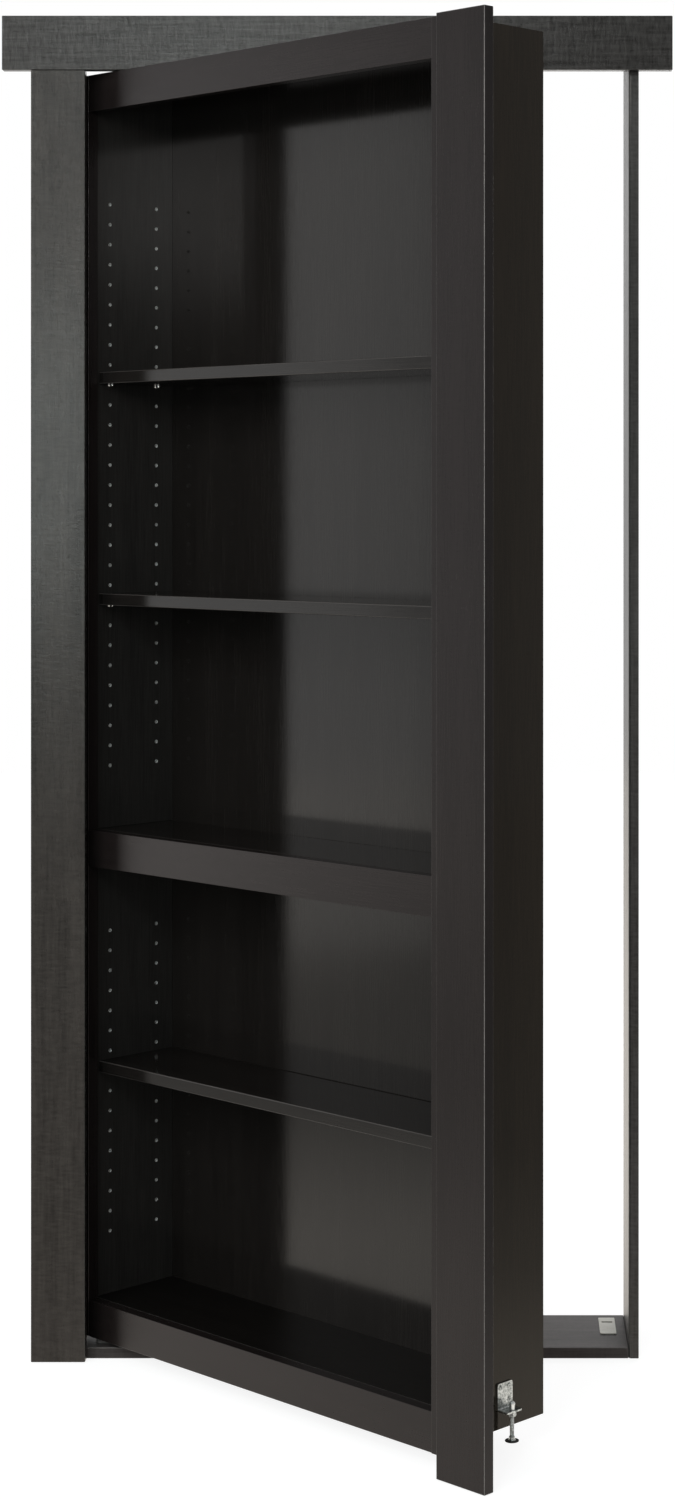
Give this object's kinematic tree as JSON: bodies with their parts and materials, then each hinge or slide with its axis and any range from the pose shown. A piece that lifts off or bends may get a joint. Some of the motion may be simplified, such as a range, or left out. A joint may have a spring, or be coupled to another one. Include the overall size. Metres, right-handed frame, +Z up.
{
  "type": "hidden door bookcase",
  "caption": "Tall shallow bookcase that is itself a pivoting door, closing flush inside a trimmed door frame with a low threshold.",
  "frame": {"origin": "middle of the threshold's underside, in the plane of the wall's middle", "axes": "+Z up, +X along the wall to the right as seen from the room, +Y through the doorway into the hidden room"},
  "size_m": [1.05, 0.771, 2.108],
  "materials": {
    "stained_trim": "espresso stain, satin, fine grain",
    "stained_face": "espresso stain, satin",
    "stained_panel": "espresso stain, satin",
    "zinc_steel": "zinc plated",
    "bronze": "sintered bronze",
    "nickel": "nickel plated",
    "black_plastic": "matt",
    "ivory_plastic": "matt"
  },
  "bodies": {
    "frame": {"left_jamb": "stained_trim", "right_jamb": "stained_trim", "head_jamb": "stained_trim", "threshold": "stained_trim", "header_trim": "stained_trim", "left_leg_trim": "stained_trim", "landing_pad": "ivory_plastic", "bottom_frame_plate": "zinc_steel", "bottom_pivot_pin": "zinc_steel", "top_frame_plate": "zinc_steel", "top_pivot_pin": "zinc_steel"},
    "case": {"left_side_panel": "stained_panel", "right_side_panel": "stained_panel", "case_top": "stained_panel", "case_floor": "stained_panel", "fixed_middle_shelf": "stained_panel", "back_panel": "stained_panel", "top_rail": "stained_face", "middle_rail": "stained_face", "bottom_rail": "stained_face", "left_stile": "stained_face", "right_stile": "stained_face", "right_leg_trim": "stained_face", "bottom_door_plate": "zinc_steel", "bottom_bush": "bronze", "thrust_washer": "bronze", "top_door_plate": "zinc_steel", "top_bush": "bronze", "levelling_bracket": "zinc_steel", "bracket_nut": "zinc_steel", "upper_shelf_support_left_front": "nickel", "upper_shelf_support_left_back": "nickel", "upper_shelf_support_right_front": "nickel", "upper_shelf_support_right_back": "nickel", "middle_shelf_support_left_front": "nickel", "middle_shelf_support_left_back": "nickel", "middle_shelf_support_right_front": "nickel", "middle_shelf_support_right_back": "nickel", "lower_shelf_support_left_front": "nickel", "lower_shelf_support_left_back": "nickel", "lower_shelf_support_right_front": "nickel", "lower_shelf_support_right_back": "nickel"},
    "upper_shelf": {"upper_shelf": "stained_panel"},
    "middle_shelf": {"middle_shelf": "stained_panel"},
    "lower_shelf": {"lower_shelf": "stained_panel"},
    "foot": {"levelling_foot": "black_plastic"},
    "stud": {"levelling_stud": "zinc_steel", "domed_nut": "zinc_steel"}
  },
  "joints": [
    {"name": "door_swing", "type": "hinge", "parent": "frame", "child": "case", "pos_m": [-0.3518, -0.0545, 0.06], "axis": [0, 0, -1], "range_deg": [-43.43, 58]},
    {"name": "upper_shelf_lift", "type": "slide", "parent": "case", "child": "upper_shelf", "axis": [0, 0, 1], "range_m": [0, 0.025]},
    {"name": "middle_shelf_lift", "type": "slide", "parent": "case", "child": "middle_shelf", "axis": [0, 0, 1], "range_m": [0, 0.025]},
    {"name": "lower_shelf_lift", "type": "slide", "parent": "case", "child": "lower_shelf", "axis": [0, 0, 1], "range_m": [0, 0.025]},
    {"name": "foot_travel", "type": "slide", "parent": "case", "child": "foot", "axis": [0, 0, 1], "range_m": [0, 0.0254]},
    {"name": "stud_turn", "type": "hinge", "parent": "foot", "child": "stud", "pos_m": [0.27047, -0.54849, 0.07], "axis": [0, 0, 1], "range_deg": [-10, 7210]}
  ],
  "couplings": [
    {"joint": "stud_turn", "follows": "foot_travel", "rad_per_m": 4947.4}
  ]
}
